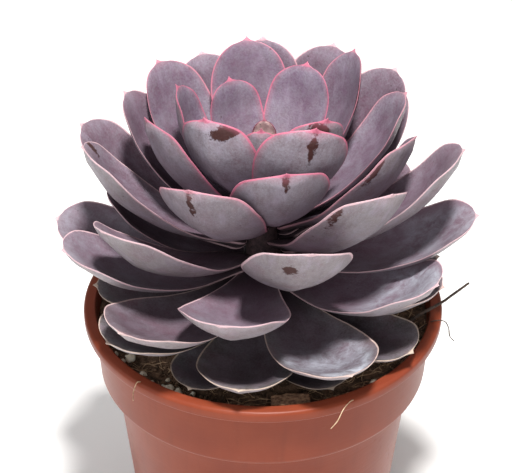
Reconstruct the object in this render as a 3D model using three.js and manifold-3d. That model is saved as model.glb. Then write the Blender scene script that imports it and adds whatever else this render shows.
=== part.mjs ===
// A rosette succulent in a round plastic nursery pot: pot, soil, stem, single leaves and the litter on the soil.
// Millimetres, +Z up. The origin is the middle of the pot's underside, and the plant's front faces -Y.
import * as THREE from "three";
import { mergeVertices } from "three/addons/utils/BufferGeometryUtils.js";
import Module from "manifold-3d";

const wasm = await Module();
wasm.setup();

// ---- Driving dimensions: pot ----
const POT_HEIGHT = 100;
const RIM_OUTER_R = 60;
const LIP_HEIGHT = 4;
const LIP_OVERHANG = 3.2; // how far the lip stands out of the collar
const COLLAR_DEPTH = 25.5; // rim top to the step under the collar
const COLLAR_TAPER = 1.3; // radius lost from the collar's top to the step
const STEP_WIDTH = 5; // the ledge under the collar
const BASE_R = 43.5;
const WALL = 1.5;
const FLOOR = 1.8;
const FOOT_WIDTH = 6; // the ring the pot stands on
const FOOT_RECESS = 1.2; // underside between that ring and the middle pad
const PAD_R = 13; // middle pad, level with the ring
const DRAIN_HOLES = 6;
const DRAIN_HOLE_R = 3.5;
const POT_SIDES = 48;

// ---- Driving dimensions: soil and stem ----
const SOIL_DROP = 8; // rim top down to the soil at the wall
const SOIL_CROWN = 1.5; // how far the soil rises towards the stem
const SOIL_SIDES = 36;
const STEM_R = 7;
const STEM_ROOT_DEPTH = 40; // stem under the soil
const STEM_SIDES = 16;
const FIT_GAP = 0.3; // between neighbouring solids

// ---- Driving dimensions: rosette, with heights above the pot's rim ----
const APEX_HEIGHT = 46; // where the youngest leaf joins the stem
const LOWEST_NODE = 5; // where the oldest leaf joins it
const APEX_R = 1.5; // stem radius at the youngest leaf
const LEAF_GAP = 0.35; // free space kept round every leaf
const NODE_CROWDING = 0.75; // under 1 spreads the upper leaves' nodes and crowds the lower ones
const LEAF_NECK = 0.22; // width at the stem, as a share of the widest
const LEAF_WIDEST = 0.64; // where the blade is widest, along its length
const LEAF_SAG = 0.085; // how deep the blade hangs under its chord, as a share of its length
const LEAF_CUP = 0.1; // how far the margins stand over the middle, as a share of the width
const LEAF_THICK = 0.13; // thickest, as a share of the width
const TIP_POINT = 1.5; // the small point at the blade's end
const LEAF_SIDES = 12;
const LEAF_RINGS = 8;

// Youngest to oldest: azimuth in degrees (0 is +X, -90 the front), reach of the tip, its height, width, and
// how far the blade is rolled about its own length, in degrees.
const LEAVES = [
  [85, 4, 66, 8],
  [-95, 8, 69, 13],
  [-25, 21, 74, 24, -35],
  [119, 22, 72, 19],
  [-143, 22, 76, 26, 25],
  [-54, 26, 77, 29, -25],
  [63, 31, 73, 22],
  [158, 29, 74, 23, 15],
  [-80, 37, 71, 31],
  [-176, 36, 70, 27, 25],
  [98, 38, 77, 26],
  [47, 43, 76, 26, -25],
  [145, 45, 73, 27],
  [-120, 43, 66, 32, 8],
  [17, 47, 70, 27, -12],
  [-3, 47, 65, 30, -25],
  [82, 44, 74, 27],
  [115, 48, 71, 27],
  [57, 48, 74, 28],
  [162, 46, 70, 24],
  [-43, 51, 63, 32, -15],
  [25, 54, 70, 29],
  [-172, 56, 63, 31, 10],
  [-8, 62, 66, 31, -6],
  [166, 60, 61, 30],
  [40, 60, 60, 30],
  [90, 57, 56, 31],
  [-76, 57, 56, 33, -8],
  [-143, 60, 51, 31, 10],
  [172, 51, 42, 28],
  [140, 60, 46, 31],
  [-8, 68, 39, 31],
  [85, 60, 42, 32],
  [-158, 67, 38, 31],
  [-101, 64, 36, 34],
  [18, 57, 35, 30],
  [-33, 64, 33, 34],
  [174, 68, 27, 31, -4],
  [60, 62, 26, 32],
  [120, 61, 24, 32],
  [-128, 69, 27, 33],
  [-23, 61, 23, 28],
  [-67, 66, 16, 32],
  [5, 58, 16, 30],
  [-138, 64, 15, 31],
  [-95, 61, 15, 31],
  [-40, 60, 8, 29],
  [-170, 55, 8, 28],
  [60, 56, 8, 28],
  [120, 56, 8, 28],
  [-68, 52, 3, 24],
  [-116, 52, 3, 24],
];

// ---- Driving dimensions: litter on the soil ----
const BARK = { length: 12, width: 5, thick: 2.4, azimuth: -80, reach: 49, turn: 20 };
const GRIT = [
  { azimuth: -150, reach: 50, size: 1.9 },
  { azimuth: -139, reach: 51, size: 1.6 },
  { azimuth: -126, reach: 50.5, size: 2 },
];
const TWIG_R = 0.6;
// Its bends: distance past the lip towards +X, place along Y and height over the rim.
const TWIG_PATH = [
  [-17, -15, -3.8],
  [-10, -12, 0.6],
  [-1, -6.5, 2.6],
  [9, 2, 4.5],
];
const TWIG_SIDES = 6;

// ---- Worked out from those ----
const collarTopR = RIM_OUTER_R - LIP_OVERHANG;
const collarStepR = collarTopR - COLLAR_TAPER;
const bodyTopR = collarStepR - STEP_WIDTH;
const innerRimR = collarTopR - WALL;
const innerStepR = collarStepR - WALL;
const stepZ = POT_HEIGHT - COLLAR_DEPTH;
const insideFloorZ = FOOT_RECESS + FLOOR;
const soilEdgeZ = POT_HEIGHT - SOIL_DROP;

const radians = (degrees) => (degrees * Math.PI) / 180;
const mix = (a, b, share) => a + (b - a) * share;
const clamp01 = (x) => Math.min(1, Math.max(0, x));
const smooth = (x) => x * x * (3 - 2 * x);

// ---- Solids ----
function toSolid(geometry) {
  const bare = new THREE.BufferGeometry();
  bare.setAttribute("position", geometry.getAttribute("position"));
  bare.setIndex(geometry.index);
  const merged = mergeVertices(bare, 1e-4);
  const corners = merged.index.array;
  const triVerts = [];
  for (let i = 0; i < corners.length; i += 3) {
    const [a, b, c] = [corners[i], corners[i + 1], corners[i + 2]];
    if (a !== b && b !== c && c !== a) triVerts.push(a, b, c);
  }
  return new wasm.Manifold(
    new wasm.Mesh({
      numProp: 3,
      vertProperties: new Float32Array(merged.attributes.position.array),
      triVerts: new Uint32Array(triVerts),
    }),
  );
}

function toGeometry(solid) {
  const mesh = solid.getMesh();
  const geometry = new THREE.BufferGeometry();
  geometry.setAttribute("position", new THREE.BufferAttribute(mesh.vertProperties, 3));
  geometry.setIndex(new THREE.BufferAttribute(mesh.triVerts, 1));
  geometry.computeVertexNormals();
  return geometry;
}

// A solid turned about +Z from [radius, height] points, up its outside first.
function turned(points, sides) {
  const profile = points.map(([r, z]) => new THREE.Vector2(r, z));
  return new THREE.LatheGeometry(profile, sides).rotateX(Math.PI / 2);
}

// Moves every corner of a geometry by a function of its place.
function reshape(geometry, place) {
  const position = geometry.getAttribute("position");
  const corner = new THREE.Vector3();
  for (let i = 0; i < position.count; i++) {
    corner.fromBufferAttribute(position, i);
    position.setXYZ(i, ...place(corner));
  }
  return geometry;
}

// ---- Pot ----
function potGeometry() {
  const round = 0.7;
  const lipBottomZ = POT_HEIGHT - LIP_HEIGHT;
  const pot = turned(
    [
      [0, 0],
      [PAD_R, 0],
      [PAD_R + FOOT_RECESS, FOOT_RECESS],
      [BASE_R - FOOT_WIDTH - FOOT_RECESS, FOOT_RECESS],
      [BASE_R - FOOT_WIDTH, 0],
      [BASE_R - round, 0],
      [BASE_R, round],
      [bodyTopR, stepZ - 1],
      [bodyTopR + 1, stepZ],
      [collarStepR - 2, stepZ],
      [collarStepR - 0.5, stepZ + 0.6],
      [collarStepR, stepZ + 2],
      [collarTopR, lipBottomZ],
      [RIM_OUTER_R - round, lipBottomZ],
      [RIM_OUTER_R, lipBottomZ + round],
      [RIM_OUTER_R, POT_HEIGHT - round],
      [RIM_OUTER_R - round, POT_HEIGHT],
      [innerRimR + 1.2, POT_HEIGHT],
      [innerRimR, POT_HEIGHT - 1.4],
      [innerStepR, stepZ + WALL],
      [bodyTopR - WALL, stepZ - 1],
      [BASE_R - WALL, insideFloorZ],
      [0, insideFloorZ],
    ],
    POT_SIDES,
  );
  let solid = toSolid(pot);
  const holeCircle = (PAD_R + BASE_R - FOOT_WIDTH) / 2;
  for (let i = 0; i < DRAIN_HOLES; i++) {
    const angle = (i / DRAIN_HOLES) * 2 * Math.PI;
    const hole = new THREE.CylinderGeometry(DRAIN_HOLE_R, DRAIN_HOLE_R, 4 * FLOOR, 12);
    hole.rotateX(Math.PI / 2);
    hole.translate(holeCircle * Math.cos(angle), holeCircle * Math.sin(angle), FLOOR);
    solid = solid.subtract(toSolid(hole));
  }
  return toGeometry(solid);
}

// ---- Soil ----
function soilTopZ(r) {
  return mix(soilEdgeZ + SOIL_CROWN, soilEdgeZ, clamp01(r / innerRimR) ** 2);
}

function soilGeometry() {
  const bore = STEM_R + FIT_GAP;
  const boreZ = soilEdgeZ - STEM_ROOT_DEPTH - FIT_GAP;
  const topR = mix(innerStepR, innerRimR, (soilEdgeZ - stepZ) / COLLAR_DEPTH) - FIT_GAP - 0.3;
  return turned(
    [
      [0, insideFloorZ + FIT_GAP],
      [BASE_R - WALL - FIT_GAP - 0.3, insideFloorZ + FIT_GAP],
      [bodyTopR - WALL - FIT_GAP - 0.3, stepZ - 1],
      [innerStepR - FIT_GAP - 0.3, stepZ + WALL + FIT_GAP + 0.3],
      [topR, soilEdgeZ - 0.5],
      [topR - 0.5, soilTopZ(topR)],
      [topR * 0.7, soilTopZ(topR * 0.7)],
      [topR * 0.4, soilTopZ(topR * 0.4)],
      [bore, soilTopZ(bore)],
      [bore, boreZ],
      [0, boreZ],
    ],
    SOIL_SIDES,
  );
}

// ---- Stem ----
// The stem's radius at a height over the rim.
function stemRadius(height) {
  const share = clamp01((height - LOWEST_NODE) / (APEX_HEIGHT - LOWEST_NODE));
  return mix(STEM_R, APEX_R, share ** 1.5);
}

function stemGeometry() {
  const points = [
    [0, soilEdgeZ - STEM_ROOT_DEPTH],
    [STEM_R * 0.7, soilEdgeZ - STEM_ROOT_DEPTH],
    [STEM_R * 0.85, soilEdgeZ - STEM_ROOT_DEPTH * 0.4],
    [STEM_R - 0.05, soilEdgeZ],
  ];
  for (let i = 0; i <= 6; i++) {
    const height = mix(LOWEST_NODE, APEX_HEIGHT, i / 6);
    points.push([stemRadius(height) - 0.05, POT_HEIGHT + height]);
  }
  points.push([0, POT_HEIGHT + APEX_HEIGHT + 1]);
  return turned(points, STEM_SIDES);
}

// ---- Leaves ----
// Half the blade's width along its length, as a share of the widest half.
function bladeHalf(t) {
  if (t < LEAF_WIDEST) {
    const heel = Math.sqrt(1 - (1 - clamp01(t / 0.05)) ** 2);
    return heel * mix(LEAF_NECK, 1, smooth(t / LEAF_WIDEST));
  }
  const past = (t - LEAF_WIDEST) / (1 - LEAF_WIDEST);
  return Math.sqrt(clamp01(1 - past ** 2.3));
}

// A leaf from its node on the stem to its tip. With room, the same leaf swelled by that much all round.
function leafGeometry({ azimuth, reach, height, width, roll, node }, room = 0) {
  const out = [Math.cos(radians(azimuth)), Math.sin(radians(azimuth))];
  const startR = stemRadius(node) + FIT_GAP;
  const start = new THREE.Vector3(startR * out[0], startR * out[1], POT_HEIGHT + node);
  const tip = new THREE.Vector3(reach * out[0], reach * out[1], POT_HEIGHT + height);
  const along = tip.clone().sub(start);
  const length = along.length();
  along.normalize();
  const across = new THREE.Vector3(out[1], -out[0], 0);
  across.applyAxisAngle(along, radians(roll));
  const up = across.clone().cross(along);
  const ball = new THREE.SphereGeometry(1, LEAF_SIDES, LEAF_RINGS);
  return reshape(ball, ({ x, y, z }) => {
    const t = (1 + y) / 2;
    const girth = Math.hypot(x, z);
    const v = girth > 1e-6 ? x / girth : 0;
    const top = girth > 1e-6 ? z / girth : 0;
    const half = (width / 2) * bladeHalf(t) + room * Math.min(1, girth * 2);
    const keel = LEAF_THICK * width * mix(0.75, 0.55, t) * Math.min(1, 2.2 * girth);
    const sag = -LEAF_SAG * length * Math.sin(Math.PI * t ** 1.15);
    const cup = LEAF_CUP * width * smooth(clamp01(t / 0.5)) * Math.min(1, 1.6 * girth);
    const rise = sag + cup * v * v - 0.5 * cup;
    const under = top < -1e-6 ? room + keel * Math.abs(top) ** 1.2 : 0;
    const over = top > 1e-6 ? room + 0.1 * keel * top : 0;
    const run = t * length + (t > 0.999 ? TIP_POINT + room : 0);
    return start
      .clone()
      .addScaledVector(along, run)
      .addScaledVector(across, half * v)
      .addScaledVector(up, rise + over - under)
      .toArray();
  });
}

// ---- Litter ----
function onSoil(azimuth, reach, lift) {
  const angle = radians(azimuth);
  const at = [reach * Math.cos(angle), reach * Math.sin(angle)];
  return new THREE.Vector3(...at, soilTopZ(reach) + lift);
}

function barkGeometry() {
  const { length, width, thick, azimuth, reach, turn } = BARK;
  const chip = new THREE.BoxGeometry(length, width, thick, 4, 2, 1);
  reshape(chip, ({ x, y, z }) => {
    const taper = 1 - 0.45 * (x / (length / 2)) ** 2;
    return [x, y * taper, z * (0.7 + 0.3 * taper) + 0.03 * x * y];
  });
  chip.rotateZ(radians(turn));
  const place = onSoil(azimuth, reach, thick / 2 + FIT_GAP + 0.9);
  return chip.translate(place.x, place.y, place.z);
}

function gritGeometry({ azimuth, reach, size }) {
  const stone = new THREE.SphereGeometry(size, 8, 5);
  reshape(stone, ({ x, y, z }) => {
    const lump = 1 + 0.12 * Math.sin(3 * x + azimuth) * Math.cos(2 * y);
    return [x * lump, y * 0.8 * lump, z * 0.7];
  });
  stone.rotateZ(radians(azimuth + 90));
  const place = onSoil(azimuth, reach, size * 0.7 + FIT_GAP);
  return stone.translate(place.x, place.y, place.z);
}

function twigGeometry() {
  const points = TWIG_PATH.map(([past, y, h]) => {
    return new THREE.Vector3(RIM_OUTER_R + past, y, POT_HEIGHT + h);
  });
  const path = new THREE.CatmullRomCurve3(points);
  const rod = new THREE.CylinderGeometry(TWIG_R, TWIG_R, 2, TWIG_SIDES, 8);
  return reshape(rod, ({ x, y, z }) => {
    const share = clamp01((1 + y) / 2);
    const along = path.getTangent(share);
    const side = new THREE.Vector3(along.y, -along.x, 0).normalize();
    const up = side.clone().cross(along);
    const centre = path.getPoint(share);
    return centre.addScaledVector(side, x).addScaledVector(up, z).toArray();
  });
}

// ---- Nesting the leaves ----
function boxesMeet(a, b) {
  return [0, 1, 2].every((i) => a.min[i] < b.max[i] && b.min[i] < a.max[i]);
}

function clashes(geometry, settled) {
  const solid = toSolid(geometry);
  const box = solid.boundingBox();
  return settled.some((other) => {
    if (!boxesMeet(box, other.box)) return false;
    return solid.intersect(other.solid).volume() > 1e-4;
  });
}

// Ways to move a leaf that doesn't fit, the smallest first: a turn round the stem, and a drop.
function slipsWithin(turnMost) {
  const found = [];
  for (let turn = -turnMost; turn <= turnMost; turn += 2) {
    for (let drop = -8; drop <= 14; drop++) found.push({ turn, drop });
  }
  const effort = ({ turn, drop }) => 0.4 * Math.abs(turn) + Math.abs(drop);
  return found.sort((a, b) => effort(a) - effort(b));
}
const slips = [...slipsWithin(16), ...slipsWithin(60)]; // wide turns come last

// Moves a leaf by the least that frees it from what is already there.
function nest(leaf, settled) {
  for (const { turn, drop } of slips) {
    const moved = {
      ...leaf,
      azimuth: leaf.azimuth + turn,
      height: leaf.height - drop * 0.7,
      node: leaf.node - drop * 0.5,
    };
    if (!clashes(leafGeometry(moved, LEAF_GAP), settled)) return moved;
  }
  return leaf;
}

// ---- The object ----
const surfaces = {
  pot: new THREE.MeshStandardMaterial({ color: 0xb9603f, roughness: 0.5, metalness: 0 }),
  soil: new THREE.MeshStandardMaterial({ color: 0x3a2a20, roughness: 0.95, metalness: 0 }),
  stem: new THREE.MeshStandardMaterial({ color: 0x8a8270, roughness: 0.8, metalness: 0 }),
  leaf: new THREE.MeshStandardMaterial({ color: 0x9a8d98, roughness: 0.6, metalness: 0 }),
  bark: new THREE.MeshStandardMaterial({ color: 0x5a3b28, roughness: 0.9, metalness: 0 }),
  grit: new THREE.MeshStandardMaterial({ color: 0xd9d2c2, roughness: 0.85, metalness: 0 }),
  twig: new THREE.MeshStandardMaterial({ color: 0x3b2a20, roughness: 0.85, metalness: 0 }),
};

const plant = new THREE.Group();
const settled = [];

function add(name, geometry, surface) {
  const mesh = new THREE.Mesh(geometry, surface);
  mesh.name = name;
  plant.add(mesh);
  const solid = toSolid(geometry);
  settled.push({ solid, box: solid.boundingBox() });
}

add("pot", potGeometry(), surfaces.pot);
add("soil", soilGeometry(), surfaces.soil);
add("stem", stemGeometry(), surfaces.stem);
add("bark_chip", barkGeometry(), surfaces.bark);
GRIT.forEach((stone, i) => add(`grit_${i + 1}`, gritGeometry(stone), surfaces.grit));
add("twig", twigGeometry(), surfaces.twig);

LEAVES.forEach(([azimuth, reach, height, width, roll = 0], i) => {
  const age = (i / (LEAVES.length - 1)) ** NODE_CROWDING;
  const node = mix(APEX_HEIGHT, LOWEST_NODE, age);
  const leaf = nest({ azimuth, reach, height, width, roll, node }, settled);
  add(`leaf_${String(i + 1).padStart(2, "0")}`, leafGeometry(leaf), surfaces.leaf);
});

export default plant;
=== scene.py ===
# A rosette succulent in a plastic pot: fine leaves, pot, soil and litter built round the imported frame.
import bpy
import bmesh
import math
import random
from mathutils import Vector, Matrix, Euler, noise


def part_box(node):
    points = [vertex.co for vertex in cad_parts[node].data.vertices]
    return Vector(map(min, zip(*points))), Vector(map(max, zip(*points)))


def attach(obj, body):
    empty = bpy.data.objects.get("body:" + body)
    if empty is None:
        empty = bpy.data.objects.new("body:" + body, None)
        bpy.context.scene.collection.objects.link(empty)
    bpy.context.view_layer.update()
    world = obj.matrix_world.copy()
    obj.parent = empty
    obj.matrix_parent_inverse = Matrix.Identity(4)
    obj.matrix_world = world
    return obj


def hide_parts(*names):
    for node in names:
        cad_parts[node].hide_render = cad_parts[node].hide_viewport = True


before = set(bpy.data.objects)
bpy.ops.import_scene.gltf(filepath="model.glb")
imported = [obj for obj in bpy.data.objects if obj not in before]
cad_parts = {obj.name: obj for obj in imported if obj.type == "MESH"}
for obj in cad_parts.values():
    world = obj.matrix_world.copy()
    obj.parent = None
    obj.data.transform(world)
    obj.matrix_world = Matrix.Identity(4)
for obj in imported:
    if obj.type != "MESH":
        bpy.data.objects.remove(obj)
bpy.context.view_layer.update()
mm = 0.001


# small helpers

def nodePoints(name):  # the CAD node's own corners, without doubles
    found = {}
    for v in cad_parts[name].data.vertices:
        found[tuple(round(c, 6) for c in v.co)] = v.co.copy()
    return list(found.values())


def nodeBox(name):  # the low and high corners of a CAD node
    return [Vector(corner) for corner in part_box(name)]


def outerRadius(points, low, high):  # widest corner between two heights
    return max(math.hypot(p.x, p.y) for p in points if low <= p.z <= high)


def smoothStep(x):
    x = min(1, max(0, x))
    return x * x * (3 - 2 * x)


def mix(a, b, share):
    return a + (b - a) * share


def finish(name, bm, material, stands=()):  # the finished piece; stands: the CAD nodes it is shown for
    bmesh.ops.recalc_face_normals(bm, faces=bm.faces)
    mesh = bpy.data.meshes.new(name)
    bm.to_mesh(mesh)
    bm.free()
    mesh.shade_smooth()
    mesh.materials.append(material)
    piece = bpy.data.objects.new(name, mesh)
    bpy.context.collection.objects.link(piece)
    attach(piece, "root")
    if stands:
        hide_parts(*stands)
    return piece


def put(tree, kind, values=None, **settings):  # a new shader node; a value is a number or a socket to link
    made = tree.nodes.new(kind)
    for name, value in settings.items():
        setattr(made, name, value)
    for name, value in (values or {}).items():
        if isinstance(value, bpy.types.NodeSocket):
            tree.links.new(value, made.inputs[name])
        else:
            made.inputs[name].default_value = value
    return made


def math2(tree, operation, a, b, clamp=False):
    return put(tree, "ShaderNodeMath", {0: a, 1: b}, operation=operation, use_clamp=clamp).outputs[0]


def times(tree, a, b, clamp=False):
    return math2(tree, "MULTIPLY", a, b, clamp)


def plus(tree, a, b):
    return math2(tree, "ADD", a, b)


def minus(tree, a, b):
    return math2(tree, "SUBTRACT", a, b)


def fade(tree, value, low, high, toLow=0.0, toHigh=1.0):  # a soft step from low to high
    values = {"Value": value, "From Min": low, "From Max": high, "To Min": toLow, "To Max": toHigh}
    return put(tree, "ShaderNodeMapRange", values, interpolation_type="SMOOTHSTEP").outputs["Result"]


def blend(tree, share, a, b):  # colour a turning to b; the mix node's colour sockets are 6, 7 and, out, 2
    return put(tree, "ShaderNodeMix", {0: share, 6: a, 7: b}, data_type="RGBA").outputs[2]


def grain(tree, where, scale, detail=3.0, rough=0.55, distort=0.0):
    return put(tree, "ShaderNodeTexNoise", {"Vector": where, "Scale": scale, "Detail": detail,
                                            "Roughness": rough, "Distortion": distort}).outputs["Fac"]


def roughen(tree, skin, height, strength, distance):  # a bump from a height
    bump = put(tree, "ShaderNodeBump", {"Height": height, "Strength": strength, "Distance": distance})
    tree.links.new(bump.outputs[0], skin.inputs["Normal"])


def startMaterial(name):  # material, tree, surface node and the place in millimetres
    material = bpy.data.materials.new(name)
    material.use_nodes = True
    tree = material.node_tree
    tree.nodes.clear()
    out = put(tree, "ShaderNodeOutputMaterial")
    skin = put(tree, "ShaderNodeBsdfPrincipled")
    tree.links.new(skin.outputs[0], out.inputs[0])
    where = put(tree, "ShaderNodeTexCoord").outputs["Object"]
    millimetres = put(tree, "ShaderNodeVectorMath", {0: where, 3: 1000.0}, operation="SCALE").outputs[0]
    return material, tree, skin, millimetres


def attribute(tree, name):
    return put(tree, "ShaderNodeAttribute", attribute_name=name).outputs["Fac"]


# leaf skin

leafLook = {
    # the bud's own pale pink, pushed near white as a painted glow of light shining through it
    "bud": (0.98, 0.70, 0.66, 1),
    "youngUpper": (0.150, 0.096, 0.155, 1),
    "midUpper": (0.170, 0.098, 0.135, 1),
    "oldUpper": (0.048, 0.043, 0.037, 1),
    # painted highlight: a pale tone for broad glossy streaks along the leaves
    "paintedHighlightBand": (0.33, 0.27, 0.35, 1),
    "youngUnder": (0.205, 0.162, 0.185, 1),
    "oldUnder": (0.225, 0.195, 0.195, 1),
    "powder": (0.31, 0.30, 0.35, 1),
    "bloom": (0.42, 0.45, 0.51, 1),
    # painted shade: near-black for the leaf bases crowded round the stem
    "base": (0.016, 0.009, 0.011, 1),
    # painted shade: the darker tone inside the upper face
    "deep": (0.075, 0.034, 0.060, 1),
    "youngMargin": (0.47, 0.125, 0.195, 1),
    "midMargin": (0.60, 0.41, 0.44, 1),
    "oldMargin": (0.52, 0.41, 0.33, 1),
    "scar": (0.036, 0.006, 0.003, 1),
    "fineLine": (0.10, 0.055, 0.075, 1),
    "blotch": (0.17, 0.065, 0.095, 1),
    "mottle": (0.10, 0.085, 0.09, 1),
    "speck": (0.05, 0.025, 0.025, 1),
    "roughness": 0.43,
    "specular": 0.3,
}


def dustGroup():  # fine powder: a mask and a height, from a place in millimetres
    group = bpy.data.node_groups.new("leafPowder", "ShaderNodeTree")
    for name, kind, way in (("Place", "NodeSocketVector", "INPUT"), ("Amount", "NodeSocketFloat", "INPUT"),
                            ("Mask", "NodeSocketFloat", "OUTPUT"), ("Height", "NodeSocketFloat", "OUTPUT")):
        group.interface.new_socket(name=name, in_out=way, socket_type=kind)
    start = put(group, "NodeGroupInput")
    patches = fade(group, grain(group, start.outputs["Place"], 0.16, 4, 0.6), 0.32, 0.68)
    specks = fade(group, grain(group, start.outputs["Place"], 1.5, 3, 0.6), 0.35, 0.65)
    share = plus(group, times(group, patches, 0.55), times(group, specks, 0.45))
    mask = times(group, share, start.outputs["Amount"], clamp=True)
    put(group, "NodeGroupOutput", {"Mask": mask, "Height": specks})
    return group


leafPowder = dustGroup()


def leafPlace(tree, place, seed):  # every leaf reads its own part of the grain
    shift = put(tree, "ShaderNodeCombineXYZ", {"X": times(tree, seed, 90.0)}).outputs[0]
    return put(tree, "ShaderNodeVectorMath", {0: place, 1: shift}, operation="ADD").outputs[0]


def leafFlesh(tree, place, age, upper, seed):  # by age and face, with lines, painted highlight bands and blotches
    look = leafLook
    upperTone = blend(tree, fade(tree, age, 0.1, 0.5), look["youngUpper"], look["midUpper"])
    upperTone = blend(tree, fade(tree, age, 0.66, 0.88), upperTone, look["oldUpper"])
    underTone = blend(tree, fade(tree, age, 0.1, 0.5), look["youngUnder"], look["oldUnder"])
    flesh = blend(tree, upper, underTone, upperTone)
    lengthwise = put(tree, "ShaderNodeCombineXYZ", {"X": attribute(tree, "acrossMm"),
                                                    "Y": times(tree, attribute(tree, "alongCm"), 4.0),
                                                    "Z": times(tree, seed, 50.0)}).outputs[0]
    lines = fade(tree, grain(tree, lengthwise, 0.9, 3, 0.5), 0.3, 0.7)
    flesh = blend(tree, times(tree, lines, 0.35), flesh, look["fineLine"])
    # painted highlight: broad pale bands along the leaf, stronger on young leaves
    paintedHighlightStreaks = fade(tree, grain(tree, lengthwise, 0.28, 2, 0.5), 0.5, 0.72)
    paintedHighlightShare = times(tree, paintedHighlightStreaks, fade(tree, age, 0.9, 0.5, 0.1, 0.38))
    flesh = blend(tree, paintedHighlightShare, flesh, look["paintedHighlightBand"])
    blotch = fade(tree, grain(tree, place, 0.09, 3, 0.6, 0.6), 0.45, 0.75)
    flesh = blend(tree, times(tree, blotch, 0.35), flesh, look["blotch"])
    mottle = fade(tree, grain(tree, place, 0.55, 4, 0.7), 0.35, 0.65)
    return blend(tree, times(tree, mottle, 0.22), flesh, look["mottle"]), lines


def leafBloom(tree, place, upper, flesh):  # powder over the flesh, pale frost on some leaves, and pale flecks
    inputs = {"Place": place, "Amount": attribute(tree, "bloom")}
    powder = put(tree, "ShaderNodeGroup", inputs, node_tree=leafPowder)
    flesh = blend(tree, powder.outputs["Mask"], flesh, leafLook["powder"])
    frost = fade(tree, grain(tree, place, 0.2, 6, 0.75, 0.5), 0.28, 0.72)
    frost = times(tree, times(tree, frost, attribute(tree, "frost"), clamp=True), upper)
    flesh = blend(tree, frost, flesh, leafLook["bloom"])
    fleck = fade(tree, grain(tree, place, 2.6, 3, 0.7), 0.52, 0.7)
    fleck = times(tree, fleck, minus(tree, 0.5, times(tree, upper, 0.3)))  # fewer on the upper face
    return blend(tree, fleck, flesh, leafLook["powder"]), powder


def leafShade(tree, place, age, upper, margin, flesh):  # painted shade towards the stem and inwards on the upper face; the bud brightened as a painted glow; specks
    look = leafLook
    # painted shade at the leaf's stem end, stronger on older leaves
    heel = fade(tree, attribute(tree, "alongShare"), 0.42, 0.06)
    heel = times(tree, heel, fade(tree, age, 0.02, 0.3, 0.0, 0.8))
    flesh = blend(tree, heel, flesh, look["base"])
    # painted shade on the upper face, away from the margin
    inside = times(tree, fade(tree, margin, 2.0, 9.0), times(tree, upper, 0.3))
    flesh = blend(tree, inside, flesh, look["deep"])
    # the bud: its pale pink raised as a painted glow of light through it
    flesh = blend(tree, fade(tree, age, 0.015, 0.005), flesh, look["bud"])
    dots = put(tree, "ShaderNodeTexVoronoi", {"Vector": place, "Scale": 0.35, "Randomness": 1.0})
    few = fade(tree, grain(tree, place, 0.3, 1, 0.5), 0.62, 0.66)
    speck = times(tree, fade(tree, dots.outputs["Distance"], 0.14, 0.08), few)
    return blend(tree, times(tree, speck, 0.7), flesh, look["speck"])


def leafScar(tree, place, flesh):
    ragged = times(tree, minus(tree, grain(tree, place, 0.6, 4, 0.65), 0.5), 3.2)
    scar = fade(tree, plus(tree, attribute(tree, "scarMm"), ragged), 0.35, -0.15)
    return blend(tree, times(tree, scar, 0.95), flesh, leafLook["scar"]), scar


def leafMargin(tree, place, age, margin, flesh):  # a thin coloured margin and a faint flush inside it
    look = leafLook
    edge = blend(tree, fade(tree, age, 0.12, 0.45), look["youngMargin"], look["midMargin"])
    edge = blend(tree, fade(tree, age, 0.7, 0.9), edge, look["oldMargin"])
    wander = plus(tree, margin, times(tree, minus(tree, grain(tree, place, 0.6, 2), 0.5), 0.5))
    flush = times(tree, fade(tree, wander, 2.6, 0.3), fade(tree, age, 0.5, 0.05, 0.06, 0.22))
    flesh = blend(tree, flush, flesh, edge)
    rim = fade(tree, wander, 0.64, 0.36)
    return blend(tree, times(tree, rim, 0.9), flesh, edge), rim


def leafSkin():
    material, tree, skin, place = startMaterial("leafSkin")
    age = attribute(tree, "leafAge")  # 0 the bud, 1 the oldest
    upper = attribute(tree, "upperFace")
    margin = attribute(tree, "marginMm")
    seed = attribute(tree, "leafSeed")
    place = leafPlace(tree, place, seed)
    flesh, lines = leafFlesh(tree, place, age, upper, seed)
    flesh, powder = leafBloom(tree, place, upper, flesh)
    flesh = leafShade(tree, place, age, upper, margin, flesh)
    flesh, scar = leafScar(tree, place, flesh)
    flesh, rim = leafMargin(tree, place, age, margin, flesh)
    tree.links.new(flesh, skin.inputs["Base Color"])
    rough = plus(tree, times(tree, powder.outputs["Mask"], 0.25), leafLook["roughness"])
    rough = minus(tree, rough, times(tree, rim, 0.12))
    tree.links.new(rough, skin.inputs["Roughness"])
    skin.inputs["Specular IOR Level"].default_value = leafLook["specular"]
    height = plus(tree, times(tree, powder.outputs["Height"], 0.35), times(tree, lines, 0.5))
    height = minus(tree, height, times(tree, scar, 0.8))
    roughen(tree, skin, height, 0.5, 0.15 * mm)
    return material


leafMaterial = leafSkin()
print("leaf skin ready")


# leaves: each follows the line, width and roll of its own solid in the frame

leafShape = {
    "neck": 0.30,  # width at the stem
    "widest": 0.68,
    "blunt": 2.5,  # higher is blunter towards the tip
    "sag": 0.085,
    "cup": 0.155,
    "thick": 0.125,
    "ridge": 0.22,  # the keel along the underside
    "point": 1.5 * mm,
    "waver": 0.035,  # how far the margins wander in the blade's width
    "wave": 0.35 * mm,  # and over it
    "dent": 0.25 * mm,
    "around": 56,
    "rings": 48,
}
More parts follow.
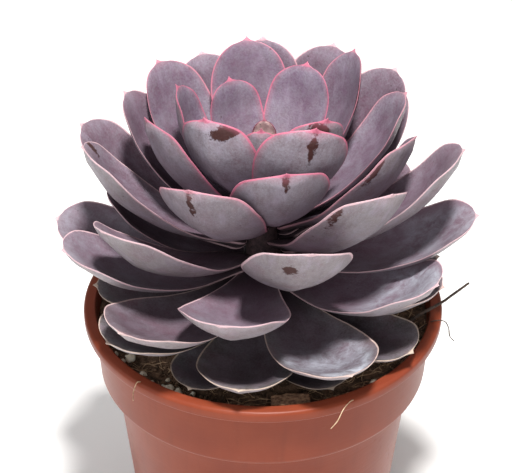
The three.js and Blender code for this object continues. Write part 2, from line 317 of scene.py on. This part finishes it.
# brown scars, by leaf: across from -1 to 1, along from 0 to 1, half size across and along in mm
leafScars = {
    3: (0.2, 0.95, 3.5, 1.4),
    5: (-0.55, 0.92, 5.5, 1.9),
    6: (0.0, 0.92, 1.1, 4.2),
    9: (0.0, 0.97, 0.8, 2.6),
    12: (0.88, 0.8, 1.0, 7.5),
    14: (0.05, 0.92, 1.0, 4.5),
    16: (0.9, 0.8, 1.0, 6.5),
    21: (0.86, 0.86, 0.9, 5.5),
    23: (0.5, 0.93, 1.2, 3.6),
    28: (0.3, 0.88, 2.2, 2.2),
}
noScar = 30  # mm, far enough from any scar
# pale bloom, by leaf
leafFrost = {29: 0.25, 32: 0.6, 33: 0.5, 34: 0.3, 35: 0.4, 37: 0.95, 38: 0.3, 39: 0.5, 43: 0.9}


def leafLine(name):  # start, tip, directions and sizes of a leaf's solid
    points = nodePoints(name)
    pairs = [((a - b).length, a, b) for i, a in enumerate(points) for b in points[:i]]
    length, start, tip = max(pairs, key=lambda pair: pair[0])
    if math.hypot(start.x, start.y) > math.hypot(tip.x, tip.y):
        start, tip = tip, start
    along = (tip - start).normalized()
    spans = [(a - b) - (a - b).dot(along) * along for a in points for b in points]
    widest = max(spans, key=lambda span: span.length)
    across = widest.normalized()
    out = Vector((tip.x, tip.y, 0)).normalized()
    usual = Vector((out.y, -out.x, 0))
    if across.dot(usual) < 0:
        across = -across
    return start, along, across, across.cross(along), length - leafShape["point"], widest.length


def bladeHalf(t):  # half the width at a share of the length, the widest being 1
    shape = leafShape
    if t < shape["widest"]:
        heel = math.sqrt(1 - (1 - min(1, t / 0.05)) ** 2)
        share = t / shape["widest"]
        return heel * mix(shape["neck"], 1, mix(smoothStep(share), math.sin(math.pi / 2 * share), 0.6))
    past = (t - shape["widest"]) / (1 - shape["widest"])
    return math.sqrt(max(0, 1 - past ** shape["blunt"]))


def scarDistance(scar, side, run, length, width):  # in mm, negative inside the scar
    if not scar:
        return noScar
    across, along, halfAcross, halfAlong = scar
    sideMm = (side - across * width / 2) / mm
    runMm = (run - along * length) / mm
    return (math.hypot(sideMm / halfAcross, runMm / halfAlong) - 1) * min(halfAcross, halfAlong)


def makeLeaf(number, total):
    shape = leafShape
    name = f"leaf_{number:02d}"
    start, along, across, up, length, width = leafLine(name)
    age = (number - 1) / (total - 1)
    dice = random.Random(number * 7 + 1)
    seed = dice.random()
    bloom = mix(0.55, 0.3, age) * dice.uniform(0.7, 1.15)
    scar = leafScars.get(number)
    frost = leafFrost.get(number, 0)
    bm = bmesh.new()
    bmesh.ops.create_uvsphere(bm, u_segments=shape["around"], v_segments=shape["rings"], radius=1)
    layers = {key: bm.verts.layers.float.new(key) for key in
              ("leafAge", "upperFace", "marginMm", "alongCm", "alongShare", "acrossMm",
               "leafSeed", "bloom", "frost", "scarMm")}
    for vert in bm.verts:
        x, y, z = vert.co
        t = (1 + z) / 2  # 0 at the stem, 1 at the tip
        girth = math.hypot(x, y)
        v = x / girth if girth > 1e-5 else 0.0  # -1 and 1 at the margins
        top = y / girth if girth > 1e-5 else 0.0  # over 0 on the upper face
        wave = noise.noise(Vector((3.1 * t + 9 * seed, 1.5 * (1 if v > 0 else -1), number)))
        half = width / 2 * bladeHalf(t) * (1 + shape["waver"] * wave * abs(v))
        keel = shape["thick"] * width * mix(0.75, 0.55, t) * min(1, 2.2 * girth)
        sag = -shape["sag"] * length * math.sin(math.pi * t ** 1.15)
        cup = shape["cup"] * width * smoothStep(t / 0.5) * min(1, 1.6 * girth)
        ridge = shape["ridge"] * keel * math.exp(-(v / 0.16) ** 2) * smoothStep(t / 0.5) * min(1, girth * 2)
        rise = sag + cup * (bladeHalf(t) * v) ** 2 - 0.5 * cup * (1 - smoothStep((t - 0.7) / 0.3))
        rise += shape["wave"] * wave * abs(v) ** 3 * math.sin(math.pi * t)
        rise += shape["dent"] * noise.noise(Vector((v * 2, t * 5, number * 3.7))) * min(1, girth * 2)
        under = keel * abs(top) ** 1.35 + ridge * abs(top) if top < 0 else 0
        over = 0.1 * keel * top - 0.25 * ridge if top > 0 else 0
        run = t * length
        if t > 0.5:  # a small sharp point at the tip
            run += shape["point"] * (1 - smoothStep(girth / 0.2))
            half *= mix(0.16, 1, smoothStep((girth - 0.03) / 0.22))
        vert.co = start + along * run + across * (half * v) + up * (rise + over - under)
        values = {
            "leafAge": age,
            "upperFace": smoothStep((top + 0.12) / 0.24) if abs(v) < 0.999 else 0.5,
            "marginMm": min((1 - abs(v)) * half / mm * 1.2, (1 - t) * length / mm + abs(top) * 0.15),
            "alongCm": t * length / (10 * mm),
            "alongShare": t,
            "acrossMm": half * v / mm,
            "leafSeed": seed,
            "bloom": bloom * mix(1.0, 0.75, smoothStep((0.5 - t) * 2)),
            "frost": frost * smoothStep((t - 0.45) / 0.25) * smoothStep((0.95 - abs(v)) / 0.3),
            "scarMm": scarDistance(scar, half * v, t * length, length, width),
        }
        for key, value in values.items():
            vert[layers[key]] = value
    return finish(f"spoon_{name}", bm, leafMaterial, (name,))


leafNames = sorted(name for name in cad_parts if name.startswith("leaf_"))
for number in range(1, len(leafNames) + 1):
    makeLeaf(number, len(leafNames))
print("leaves ready:", len(leafNames))


# pot plastic

potLook = {
    "colour": (0.172, 0.033, 0.015, 1),
    "bright": (0.200, 0.041, 0.018, 1),
    "dull": (0.125, 0.026, 0.013, 1),
    "dust": (0.20, 0.095, 0.065, 1),
    "roughness": 0.38,
    "specular": 0.16,
}


def potPlastic():
    look = potLook
    material, tree, skin, place = startMaterial("potPlastic")
    cloud = fade(tree, grain(tree, place, 0.04, 4, 0.55), 0.3, 0.7)
    tone = blend(tree, cloud, look["colour"], look["bright"])
    flow = put(tree, "ShaderNodeMapping", {"Vector": place, "Scale": (0.35, 0.35, 0.03)}).outputs[0]
    streak = fade(tree, grain(tree, flow, 1.0, 3, 0.6), 0.5, 0.8)
    tone = blend(tree, times(tree, streak, 0.25), tone, look["dull"])
    dust = fade(tree, grain(tree, place, 0.5, 5, 0.7), 0.55, 0.8)
    tone = blend(tree, times(tree, dust, 0.22), tone, look["dust"])
    tree.links.new(tone, skin.inputs["Base Color"])
    rough = plus(tree, times(tree, dust, 0.2), look["roughness"])
    tree.links.new(rough, skin.inputs["Roughness"])
    skin.inputs["Specular IOR Level"].default_value = look["specular"]
    rings = put(tree, "ShaderNodeMapping", {"Vector": place, "Scale": (0.02, 0.02, 1.6)}).outputs[0]
    turned = grain(tree, rings, 1.0, 2, 0.5)
    peel = grain(tree, place, 1.3, 2, 0.5)
    height = plus(tree, times(tree, turned, 0.7), times(tree, peel, 0.3))
    roughen(tree, skin, height, 0.25, 0.2 * mm)
    return material


# pot: one turned shell, its radii read from the frame

potShape = {
    "lipHeight": 4.0 * mm,
    "lipRound": 1.3 * mm,
    "collarDepth": 25.5 * mm,
    "collarTaper": 1.3 * mm,
    "wall": 1.5 * mm,
    "floor": 3.0 * mm,
    "recess": 1.2 * mm,  # between the foot ring and the middle pad
    "pad": 13 * mm,
    "footWidth": 6 * mm,
    "footRound": 0.8 * mm,
    "steps": 160,
    "holes": 6,
    "holeRadius": 3.5 * mm,
}


def arc(r, z, radius, start, end, count=6):  # points on a rounded corner, in degrees from outwards
    found = []
    for i in range(count + 1):
        angle = math.radians(mix(start, end, i / count))
        found.append((r + radius * math.cos(angle), z + radius * math.sin(angle)))
    return found


def potOutline():  # from the middle of the underside, round the outside and back inside; and two sizes
    shape = potShape
    points = nodePoints("pot")
    top = nodeBox("pot")[1].z
    step = top - shape["collarDepth"]
    rim = outerRadius(points, top - 2 * mm, top)
    collarLow = outerRadius(points, step + 1 * mm, step + 3 * mm)
    collarTop = collarLow + shape["collarTaper"]
    bodyTop = outerRadius(points, step - 1.2 * mm, step - 0.8 * mm)
    base = outerRadius(points, 0, 1 * mm)
    lipLow = top - shape["lipHeight"]
    lip, foot, recess, wall = shape["lipRound"], shape["footRound"], shape["recess"], shape["wall"]
    ringInner = base - shape["footWidth"]
    line = [(0, 0), (shape["pad"], 0), (shape["pad"] + recess, recess)]
    line += [(ringInner - recess, recess), (ringInner, 0)]
    line += arc(base - foot, foot, foot, -90, 0)
    line += [(mix(base, bodyTop, i / 10), mix(foot, step - 1.6 * mm, i / 10)) for i in range(1, 11)]
    line += [(bodyTop + 0.25 * mm, step - 0.7 * mm), (bodyTop + 1.0 * mm, step - 0.1 * mm)]
    line += arc(collarLow - 2.2 * mm, step + 2.2 * mm, 2.2 * mm, -80, 0, 8)
    for i in range(1, 9):
        line.append((mix(collarLow, collarTop, i / 8), mix(step + 2.4 * mm, lipLow - 0.6 * mm, i / 8)))
    line += [(collarTop + 0.3 * mm, lipLow - 0.15 * mm), (collarTop + 1.0 * mm, lipLow)]
    line += arc(rim - 0.9 * mm, lipLow + 0.9 * mm, 0.9 * mm, -90, -10)
    line += arc(rim - lip, top - lip, lip, 0, 90)
    line += arc(collarTop - 0.2 * mm, top - 0.7 * mm, 0.7 * mm, 90, 180)
    inner = collarTop - wall
    line += [(inner, top - 2.5 * mm), (collarLow - wall, step + wall), (bodyTop - wall, step - 1 * mm)]
    line += [(base - wall, shape["floor"]), (0, shape["floor"])]
    holeCircle = (shape["pad"] + ringInner) / 2
    return line, inner, top, holeCircle


def spinOutline(bm, line, steps):  # spins an outline of radius and height round the upright axis
    verts = [bm.verts.new((r, 0, z)) for r, z in line]
    edges = [bm.edges.new(pair) for pair in zip(verts, verts[1:])]
    bmesh.ops.spin(bm, geom=verts + edges, cent=(0, 0, 0), axis=(0, 0, 1), angle=2 * math.pi,
                   steps=steps, use_merge=True)
    bmesh.ops.remove_doubles(bm, verts=bm.verts, dist=1e-6)


def makePot():
    shape = potShape
    line, inner, top, holeCircle = potOutline()
    bm = bmesh.new()
    spinOutline(bm, line, shape["steps"])
    cutters = bmesh.new()
    for i in range(shape["holes"]):
        angle = 2 * math.pi * i / shape["holes"]
        spot = Matrix.Translation((holeCircle * math.cos(angle), holeCircle * math.sin(angle), 2 * mm))
        bmesh.ops.create_cone(cutters, cap_ends=True, segments=32, radius1=shape["holeRadius"],
                              radius2=shape["holeRadius"], depth=8 * mm, matrix=spot)
    holes = bpy.data.meshes.new("potHoles")
    cutters.to_mesh(holes)
    cutters.free()
    cutter = bpy.data.objects.new("potHoles", holes)
    bpy.context.collection.objects.link(cutter)
    pot = finish("turnedPot", bm, potPlastic(), ("pot",))
    cut = pot.modifiers.new("holes", "BOOLEAN")
    cut.object = cutter
    cut.solver = "EXACT"
    bpy.context.view_layer.update()
    cutMesh = bpy.data.meshes.new_from_object(pot.evaluated_get(bpy.context.evaluated_depsgraph_get()))
    pot.modifiers.clear()
    pot.data = cutMesh
    cutMesh.shade_smooth()
    cutMesh.set_sharp_from_angle(angle=math.radians(50))
    bpy.data.objects.remove(cutter)
    return inner, top


potInner, potTop = makePot()
print("pot ready")


# soil

soilLook = {
    "dark": (0.040, 0.024, 0.016, 1),
    "brown": (0.22, 0.13, 0.080, 1),
    "light": (0.50, 0.35, 0.24, 1),
    "roughness": 0.92,
    "specular": 0.25,
}


def peat(name, lift=1.0):  # lift: how much of the light bits show
    look = soilLook
    material, tree, skin, place = startMaterial(name)
    lumps = fade(tree, grain(tree, place, 0.35, 5, 0.7), 0.3, 0.7)
    tone = blend(tree, lumps, look["dark"], look["brown"])
    bits = fade(tree, grain(tree, place, 1.8, 3, 0.7), 0.58, 0.72)
    tone = blend(tree, times(tree, bits, 0.6 * lift), tone, look["light"])
    tree.links.new(tone, skin.inputs["Base Color"])
    skin.inputs["Roughness"].default_value = look["roughness"]
    skin.inputs["Specular IOR Level"].default_value = look["specular"]
    roughen(tree, skin, grain(tree, place, 1.6, 6, 0.75), 0.9, 0.6 * mm)
    return material


soilShape = {
    "cells": 170,
    "gap": 0.25 * mm,  # to the pot's wall
    "lumps": 1.2 * mm,
    "bank": 2.6 * mm,  # how far it climbs the wall
    "depth": 12 * mm,
    "crumbs": 900,
    "fibres": 320,
}
soilHigh = max(p.z for p in nodePoints("soil"))
soilEdge = max(p.z for p in nodePoints("soil") if math.hypot(p.x, p.y) > potInner - 2 * mm)
soilMaterial = peat("peat")


def soilHeight(x, y):  # of the rough surface at a place
    r = math.hypot(x, y) / potInner
    place = Vector((x, y, 0)) / mm
    rise = 0.55 * noise.noise(place * 0.12) + 0.4 * noise.noise(place * 0.35 + Vector((7, 3, 1)))
    rise += 0.22 * noise.noise(place * 0.9 + Vector((1, 9, 5)))
    bank = soilShape["bank"] * smoothStep((r - 0.84) / 0.16)
    return mix(soilHigh, soilEdge, r * r) + soilShape["lumps"] * rise + bank


def makeSoil():
    bm = bmesh.new()
    radius = potInner - soilShape["gap"]
    bmesh.ops.create_grid(bm, x_segments=soilShape["cells"], y_segments=soilShape["cells"], size=radius * 1.02)
    outside = [v for v in bm.verts if v.co.length > radius]
    bmesh.ops.delete(bm, geom=outside, context="VERTS")
    for v in bm.verts:
        if v.is_boundary:
            v.co *= radius / v.co.length
    for v in bm.verts:
        v.co.z = soilHeight(v.co.x, v.co.y)
    border = [e for e in bm.edges if e.is_boundary]
    skirt = bmesh.ops.extrude_edge_only(bm, edges=border)
    lower = [g for g in skirt["geom"] if isinstance(g, bmesh.types.BMVert)]
    for v in lower:
        v.co.z = soilEdge - soilShape["depth"]
    bmesh.ops.holes_fill(bm, edges=[e for e in bm.edges if e.is_boundary], sides=0)
    return finish("roughSoil", bm, soilMaterial, ("soil",))


makeSoil()


def onSoil(dice, inner=0.5, outer=0.985):  # a random place between two shares of the radius
    angle = dice.uniform(0, 2 * math.pi)
    r = potInner * math.sqrt(dice.uniform(inner ** 2, outer ** 2))
    return Vector((r * math.cos(angle), r * math.sin(angle), 0))


def lump(bm, spot, size, dice, squash=(1, 0.8, 0.6), detail=1):
    made = bmesh.ops.create_icosphere(bm, subdivisions=detail, radius=1)
    turn = Euler([dice.uniform(0, 6.28) for axis in range(3)]).to_matrix()
    shift = Vector([dice.uniform(0, 50) for axis in range(3)])
    for v in made["verts"]:
        bulge = 1 + 0.28 * noise.noise(v.co * 1.4 + shift)
        flat = Vector([c * s for c, s in zip(v.co, squash)])
        v.co = turn @ (flat * bulge) * size + spot


def makeCrumbs():
    dice = random.Random(11)
    bm = bmesh.new()
    for i in range(soilShape["crumbs"]):
        spot = onSoil(dice)
        size = dice.uniform(0.35, 1.25) ** 1.5 * mm
        spot.z = soilHeight(spot.x, spot.y) + size * 0.3
        lump(bm, spot, size, dice)
    finish("soilCrumbs", bm, peat("crumbPeat", 1.4))


makeCrumbs()


gritLook = {
    "pale": (0.86, 0.80, 0.67, 1),
    "tan": (0.66, 0.54, 0.40, 1),
    "dirt": (0.20, 0.13, 0.09, 1),
    "roughness": 0.8,
}


def stoneMaterial():
    look = gritLook
    material, tree, skin, place = startMaterial("paleGrit")
    share = fade(tree, grain(tree, place, 0.45, 4, 0.6), 0.35, 0.65)
    tone = blend(tree, share, look["pale"], look["tan"])
    dirt = fade(tree, grain(tree, place, 1.1, 4, 0.7), 0.55, 0.7)
    tone = blend(tree, times(tree, dirt, 0.5), tone, look["dirt"])
    tree.links.new(tone, skin.inputs["Base Color"])
    skin.inputs["Roughness"].default_value = look["roughness"]
    roughen(tree, skin, grain(tree, place, 1.4, 5, 0.7), 0.6, 0.4 * mm)
    return material


gritMaterial = stoneMaterial()
# azimuth, reach in mm, size in mm
looseGrit = [
    (-153.5, 53.4, 1.0), (-148.5, 53.4, 1.2), (-140.4, 53.4, 1.0), (-131.8, 53, 1.3), (-128.6, 50.7, 1.0),
    (-121.6, 51.1, 1.7), (-117.6, 48, 1.2), (-131, 46.5, 0.9), (-48.7, 52.8, 1.8), (-54, 53, 0.9),
    (-60, 51.5, 0.8), (-160, 52, 0.9), (-108, 53, 0.8), (30, 50, 1.4), (75, 51, 1.5), (120, 50, 1.3),
    (150, 51, 1.6), (-12, 51, 1.1),
]


def makeGrit():
    dice = random.Random(5)
    for i in range(1, 4):
        low, high = nodeBox(f"grit_{i}")
        half = (high - low) / 2
        bm = bmesh.new()
        bmesh.ops.create_icosphere(bm, subdivisions=4, radius=1)
        for v in bm.verts:
            broad = 0.16 * noise.noise(v.co * 1.3 + Vector((i, 0, 0)))
            fine = 0.05 * noise.noise(v.co * 4)
            shaped = Vector([c * h for c, h in zip(v.co, half)])
            v.co = shaped * 1.02 * (1 + broad + fine) + (low + high) / 2
        finish(f"gritStone_{i}", bm, gritMaterial, (f"grit_{i}",))
    bm = bmesh.new()
    for azimuth, reach, size in looseGrit:
        angle = math.radians(azimuth)
        spot = Vector((reach * mm * math.cos(angle), reach * mm * math.sin(angle), 0))
        spot.z = soilHeight(spot.x, spot.y) + size * mm * 0.35
        lump(bm, spot, size * mm, dice, (1, 0.85, 0.7), 3)
    finish("looseGrit", bm, gritMaterial)


makeGrit()


# fibres, straws, twig and bark

def woodMaterial(name, dark, light, rough=0.8):
    material, tree, skin, place = startMaterial(name)
    share = fade(tree, grain(tree, place, 0.8, 4, 0.65), 0.3, 0.7)
    tree.links.new(blend(tree, share, dark, light), skin.inputs["Base Color"])
    skin.inputs["Roughness"].default_value = rough
    roughen(tree, skin, grain(tree, place, 2.0, 4, 0.7), 0.6, 0.3 * mm)
    return material


def strand(bm, points, radii, sides=6):  # a round strand through the points, closed at both ends
    rings = []
    for i, spot in enumerate(points):
        ahead = points[min(i + 1, len(points) - 1)] - points[max(i - 1, 0)]
        turn = ahead.to_track_quat("Z", "Y").to_matrix().to_4x4()
        ring = bmesh.ops.create_circle(bm, cap_ends=False, segments=sides, radius=radii[i],
                                       matrix=Matrix.Translation(spot) @ turn)["verts"]
        rings.append(ring)
    for a, b in zip(rings, rings[1:]):
        for i in range(sides):
            bm.faces.new((a[i], a[(i + 1) % sides], b[(i + 1) % sides], b[i]))
    bm.faces.new(rings[0])
    bm.faces.new(rings[-1])


def curveThrough(points, count):  # an even smooth line through given points
    found = []
    last = len(points) - 1
    for i in range(count + 1):
        at = i / count * last
        k = min(int(at), last - 1)
        s = at - k
        before, a, b, after = (points[max(k - 1, 0)], points[k], points[k + 1], points[min(k + 2, last)])
        square = 2 * before - 5 * a + 4 * b - after
        cube = 3 * a - before - 3 * b + after
        found.append(0.5 * (2 * a + (b - before) * s + square * s * s + cube * s ** 3))
    return found


fibreMaterial = woodMaterial("drySoilFibre", (0.24, 0.13, 0.07, 1), (0.62, 0.42, 0.26, 1))
darkWood = woodMaterial("darkTwig", (0.025, 0.016, 0.012, 1), (0.09, 0.055, 0.04, 1))
strawMaterial = woodMaterial("paleStraw", (0.42, 0.28, 0.16, 1), (0.66, 0.50, 0.33, 1), 0.6)


def makeFibres():
    dice = random.Random(23)
    bm = bmesh.new()
    for i in range(soilShape["fibres"]):
        spot = onSoil(dice, 0.72, 0.97)
        heading = dice.uniform(0, 2 * math.pi)
        length = dice.uniform(3, 12) * mm
        bend = dice.uniform(-1.4, 1.4)
        points = []
        for k in range(7):
            point = spot.copy()
            point.z = soilHeight(point.x, point.y) + dice.uniform(0.05, 0.45) * mm
            points.append(point)
            heading += bend / 6
            spot = spot + Vector((math.cos(heading), math.sin(heading), 0)) * length / 6
            far = math.hypot(spot.x, spot.y)
            if far > potInner - 0.8 * mm:
                spot *= (potInner - 0.8 * mm) / far
        thick = dice.uniform(0.08, 0.2) * mm
        strand(bm, points, [thick * s for s in (0.6, 1, 1, 1, 1, 0.8, 0.5)], 5)
    finish("soilFibres", bm, fibreMaterial)


makeFibres()


def above(x, y, z):  # a place in mm, its height over the pot's rim
    return Vector((x * mm, y * mm, potTop + z * mm))


# material, thickness in mm and the places it passes through
strawPaths = {
    "bentStraw": (strawMaterial, 0.32, [
        above(46, -17.5, -4), above(48.6, -19.6, -2), above(51.3, -23.6, -1.5),
        above(46.6, -28.8, -3), above(41.8, -33.9, -4.8)]),
    "rimStraw": (strawMaterial, 0.17, [
        above(30, -44, -5.5), above(28.7, -49.8, -2.6), above(26.6, -55.2, 0.9),
        above(24.4, -58.4, 0.5), above(22.6, -60.4, -2.4), above(20.6, -60.6, -5.4)]),
    "rimRoot": (darkWood, 0.24, [
        above(51, -13, -4), above(55.5, -13.6, 0.2), above(59.4, -13.8, 0.5),
        above(61.2, -12.9, -2.8), above(61.7, -13.8, -5.6), above(63.4, -13.6, -8)]),
    "rimFibre": (fibreMaterial, 0.2, [
        above(-35, -40, -7), above(-37, -43, -2.5), above(-39.2, -45.4, 0.6),
        above(-40.6, -46.6, -2.5), above(-40.8, -46.4, -6)]),
    "frontStraw": (strawMaterial, 0.3, [
        above(-16, -50, -6.8), above(-11, -51.5, -5.8), above(-6, -50.5, -6.4)]),
    "frontStrawTwo": (fibreMaterial, 0.28, [
        above(-20, -47, -6.8), above(-17, -51, -5.6), above(-12, -52.6, -6.2)]),
}
for name, (material, thick, path) in strawPaths.items():
    bm = bmesh.new()
    line = curveThrough(path, 28)
    strand(bm, line, [thick * mm * (0.85 + 0.3 * noise.noise(p * 600)) for p in line], 8)
    finish(name, bm, material)


twigShape = {"slices": 10, "steps": 60, "thick": 0.62 * mm, "taper": 0.2 * mm, "knobs": 0.09 * mm}


def makeTwig():  # through the middles of slices of the CAD twig
    shape = twigShape
    points = sorted(nodePoints("twig"), key=lambda p: p.x)
    low, high = points[0].x, points[-1].x
    centres = []
    for i in range(shape["slices"]):
        middle = mix(low, high, (i + 0.5) / shape["slices"])
        near = [p for p in points if abs(p.x - middle) < (high - low) / 14]
        if near:
            centres.append(sum(near, Vector()) / len(near))
    line = curveThrough(centres, shape["steps"])
    radii = []
    for i, p in enumerate(line):
        thick = shape["thick"] - shape["taper"] * i / shape["steps"]
        radii.append(thick + shape["knobs"] * noise.noise(p * 500))
    bm = bmesh.new()
    strand(bm, line, radii, 14)
    finish("darkTwig", bm, darkWood, ("twig",))


makeTwig()


def makeBark():
    low, high = nodeBox("bark_chip")
    flat = [Vector((p.x, p.y, 0)) for p in nodePoints("bark_chip")]
    a, b = max(((p, q) for p in flat for q in flat), key=lambda pair: (pair[0] - pair[1]).length)
    along = (b - a).normalized()
    side = Vector((-along.y, along.x, 0))
    centre = (low + high) / 2
    halfLength = (b - a).length / 2
    halfWidth = max(abs((p - centre).dot(side)) for p in flat)
    halfThick = (high.z - low.z) / 2
    bm = bmesh.new()
    bmesh.ops.create_cube(bm, size=2)
    bmesh.ops.subdivide_edges(bm, edges=bm.edges, cuts=22, use_grid_fill=True)
    for v in bm.verts:
        x, y, z = v.co
        place = Vector((x * 3, y * 5, z * 2))
        taper = 1 - 0.35 * x * x + 0.12 * noise.noise(Vector((x * 3, 4, 0)))
        layer = 0.16 * noise.noise(Vector((x * 1.5, y * 7, 3 + z)))
        rough = 0.12 * noise.noise(place * 1.8)
        run = halfLength * (x * 0.97 + 0.06 * noise.noise(Vector((0, y * 4, z * 3))))
        out = halfWidth * (y * taper + 0.1 * noise.noise(place))
        v.co = centre + along * run + side * out + Vector((0, 0, halfThick * (z * 0.9 + layer + rough)))
    bark = woodMaterial("barkChip", (0.10, 0.05, 0.03, 1), (0.42, 0.24, 0.14, 1), 0.85)
    finish("barkChip", bm, bark, ("bark_chip",))


makeBark()
print("soil and litter ready")


# stem

def makeStem():
    points = nodePoints("stem")
    heights = sorted({round(p.z, 5) for p in points})
    radii = [outerRadius(points, z - 1e-5, z + 1e-5) for z in heights]
    line = [(0, heights[0])]
    line += [(r, z) for r, z in zip(radii, heights) if r > 1e-5]
    line += [(0, heights[-1])]
    bm = bmesh.new()
    spinOutline(bm, line, 48)
    tall = [e for e in bm.edges if abs(e.verts[0].co.z - e.verts[1].co.z) > 4 * mm]
    bmesh.ops.subdivide_edges(bm, edges=tall, cuts=5)
    for v in bm.verts:
        if math.hypot(v.co.x, v.co.y) > 1e-5:
            push = 0.98 + 0.05 * noise.noise(v.co * 400)
            v.co.x *= push
            v.co.y *= push
    # the stem's own dark skin, made near-black as painted shade where it shows between the leaf bases
    bark = woodMaterial("darkStemPaintedShade", (0.022, 0.013, 0.014, 1), (0.075, 0.042, 0.045, 1), 0.75)
    finish("shortStem", bm, bark, ("stem",))


makeStem()
print("stem ready")


# floor, camera and light

stageLook = {
    "target": Vector((-2.3, 0, 124.7)) * mm,
    "camera": Vector((-2.3, -431.1, 415.5)) * mm,
    "lens": 111.8,
    "lampTarget": Vector((0, 0, 0.12)),
    "floor": (0.93, 0.925, 0.915, 1),
    "floorHalf": 4,
    "room": 0.31,  # strength of the white room
}
# size, place, power and colour
lamps = {
    "overhead": (0.14, (0.05, -0.30, 1.05), 17.8, (1, 0.985, 0.965)),
    "frontSoft": (0.45, (-0.15, -0.95, 0.55), 3.4, (0.98, 0.985, 1)),
    "leftSoft": (0.8, (-0.75, -0.1, 0.6), 2.2, (0.96, 0.98, 1)),
    "rightSoft": (0.8, (0.8, 0.1, 0.6), 1.3, (1, 0.98, 0.96)),
}


def addObject(name, data):
    made = bpy.data.objects.new(name, data)
    bpy.context.collection.objects.link(made)
    return made


def aim(thing, place, target):
    thing.location = place
    thing.rotation_euler = (target - Vector(place)).to_track_quat("-Z", "Y").to_euler()


def makeFloor():
    bm = bmesh.new()
    bmesh.ops.create_grid(bm, x_segments=1, y_segments=1, size=stageLook["floorHalf"])
    mesh = bpy.data.meshes.new("paleFloor")
    bm.to_mesh(mesh)
    bm.free()
    floor = addObject("paleFloor", mesh)
    material, tree, skin, place = startMaterial("paleFloor")
    skin.inputs["Base Color"].default_value = stageLook["floor"]
    skin.inputs["Roughness"].default_value = 0.9
    mesh.materials.append(material)


def makeCamera():
    camera = addObject("camera", bpy.data.cameras.new("camera"))
    aim(camera, stageLook["camera"], stageLook["target"])
    camera.data.lens = stageLook["lens"]
    camera.data.sensor_width = 36
    camera.data.clip_start = 0.01
    bpy.context.scene.camera = camera


def makeLight():
    for name, (size, place, power, colour) in lamps.items():
        data = bpy.data.lights.new(name, "AREA")
        data.shape = "DISK"
        data.size = size
        data.energy = power
        data.color = colour
        aim(addObject(name, data), place, stageLook["lampTarget"])
    world = bpy.data.worlds.new("paleRoom")
    bpy.context.scene.world = world
    world.use_nodes = True
    background = world.node_tree.nodes["Background"]
    background.inputs["Color"].default_value = (1, 1, 1, 1)
    background.inputs["Strength"].default_value = stageLook["room"]


makeFloor()
makeCamera()
makeLight()
bpy.context.scene.view_settings.view_transform = "Standard"
print("stage ready")
